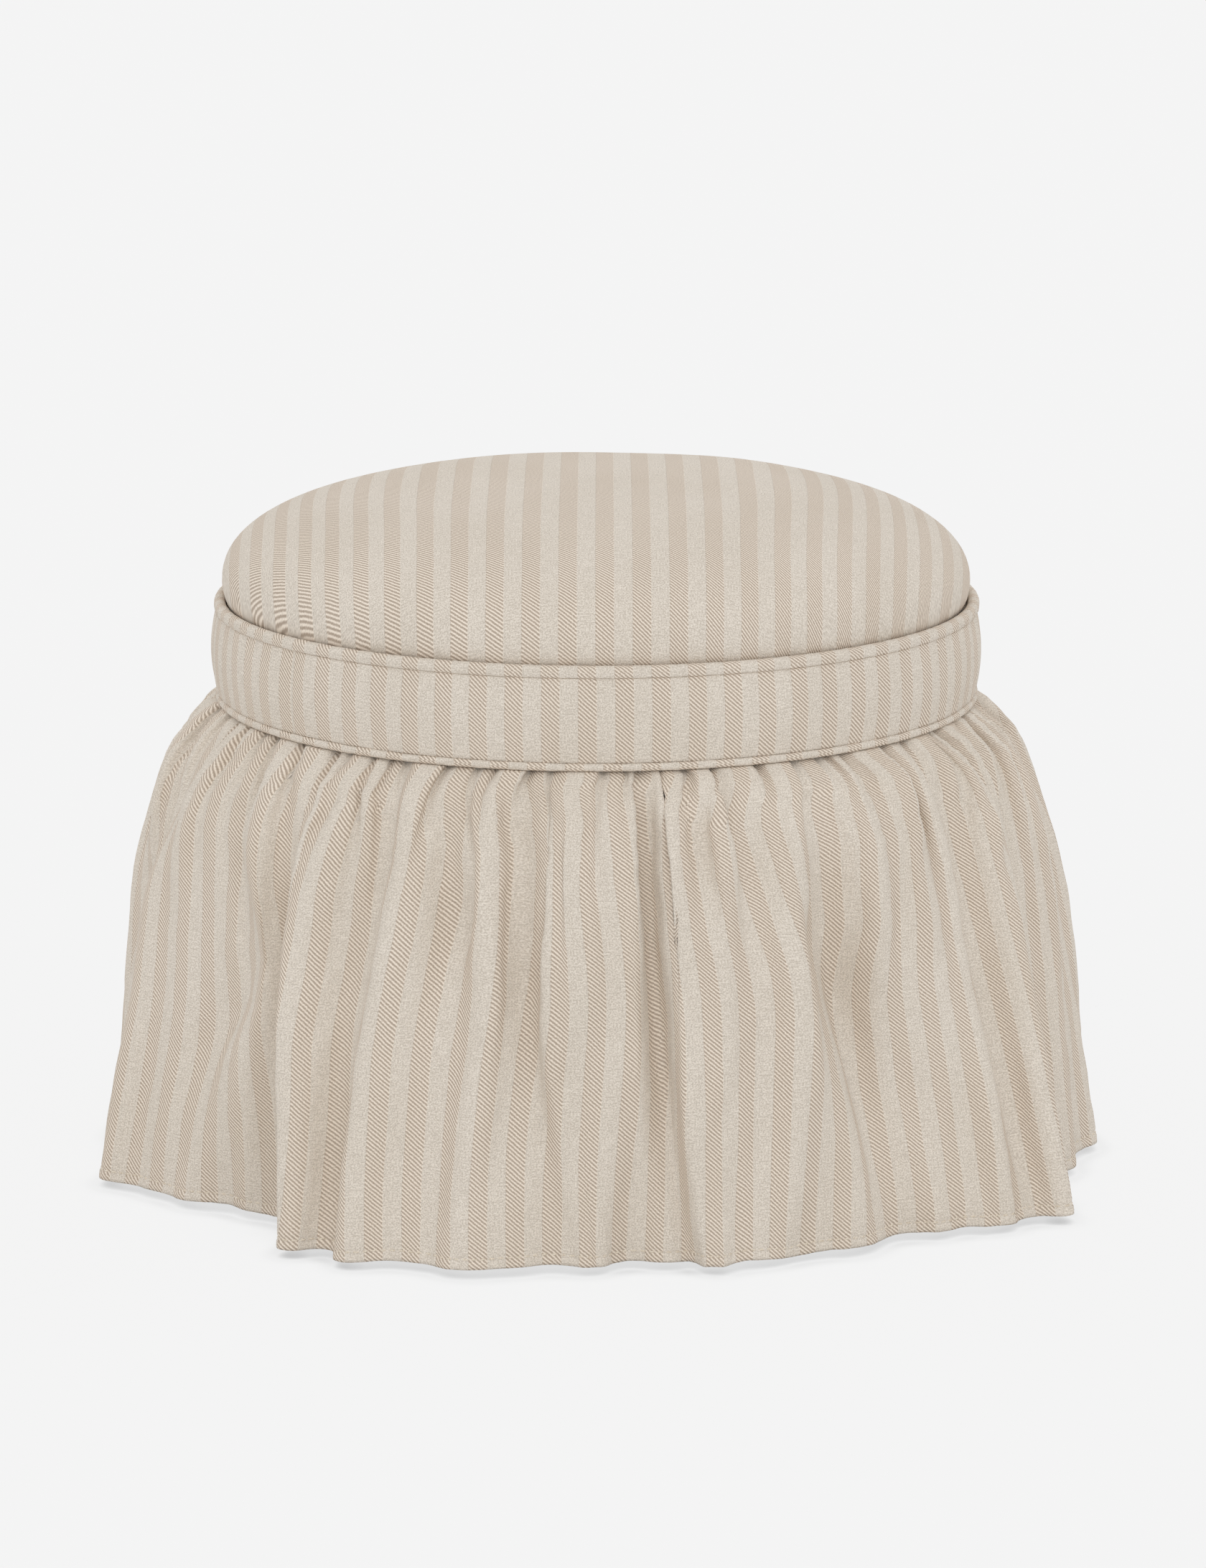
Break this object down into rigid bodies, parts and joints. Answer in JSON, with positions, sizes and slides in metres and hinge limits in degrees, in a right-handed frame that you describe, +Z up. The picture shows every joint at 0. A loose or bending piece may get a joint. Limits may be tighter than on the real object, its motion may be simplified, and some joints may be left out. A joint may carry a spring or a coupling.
{
  "type": "round storage ottoman",
  "caption": "Round storage ottoman with a lift-off crowned cushion lid, a piped band round the rim and a gathered striped skirt down to the floor.",
  "frame": {"origin": "on the floor, under the middle of the drum", "axes": "+Z up, along the drum's axis and the lid's lift; the side shown in the picture faces -Y; +X is to the right of someone who looks at that side"},
  "size_m": [0.6662, 0.6414, 0.4569],
  "materials": {
    "striped_cloth": "matt woven cotton, cream slub stripe and tan twill stripe of equal width",
    "plywood": "raw sanded plywood",
    "hardboard": "raw bent hardboard",
    "pine": "raw planed pine",
    "lining_cloth": "plain cotton lining on card",
    "black_cambric": "thin black dust cloth",
    "wadding": "white polyester wadding",
    "seat_foam": "open-cell seat foam",
    "cotton_cord": "twisted cotton piping cord",
    "tack_strip_card": "upholsterer's card strip",
    "glide_plastic": "black moulded plastic",
    "zinc_steel": "zinc plated"
  },
  "bodies": {
    "base": {"glide_1": "glide_plastic", "glide_2": "glide_plastic", "glide_3": "glide_plastic", "glide_4": "glide_plastic", "glide_screw_1": "zinc_steel", "glide_screw_2": "zinc_steel", "glide_screw_3": "zinc_steel", "glide_screw_4": "zinc_steel", "dust_cover": "black_cambric", "base_board": "plywood", "drum_wall": "hardboard", "rim_ring": "plywood", "post_1": "pine", "post_2": "pine", "post_3": "pine", "post_4": "pine", "post_5": "pine", "post_6": "pine", "base_screw_1": "zinc_steel", "base_screw_2": "zinc_steel", "base_screw_3": "zinc_steel", "base_screw_4": "zinc_steel", "base_screw_5": "zinc_steel", "base_screw_6": "zinc_steel", "rim_screw_1": "zinc_steel", "rim_screw_2": "zinc_steel", "rim_screw_3": "zinc_steel", "rim_screw_4": "zinc_steel", "rim_screw_5": "zinc_steel", "rim_screw_6": "zinc_steel", "wall_liner": "lining_cloth", "floor_liner": "lining_cloth", "band_padding": "wadding", "band_cover": "striped_cloth", "upper_welt_cover": "striped_cloth", "upper_welt_cord": "cotton_cord", "lower_welt_cover": "striped_cloth", "lower_welt_cord": "cotton_cord", "tack_strip": "tack_strip_card", "skirt": "striped_cloth"},
    "lid": {"lid_cover": "striped_cloth", "lid_batting": "wadding", "lid_foam": "seat_foam", "lid_board": "plywood", "lid_plug": "plywood", "lid_lining": "lining_cloth", "plug_screw_1": "zinc_steel", "plug_screw_2": "zinc_steel", "plug_screw_3": "zinc_steel", "plug_screw_4": "zinc_steel"}
  },
  "joints": [
    {"name": "lid_lift", "type": "slide", "parent": "base", "child": "lid", "axis": [0, 0, 1], "range_m": [0, 0.4]}
  ]
}
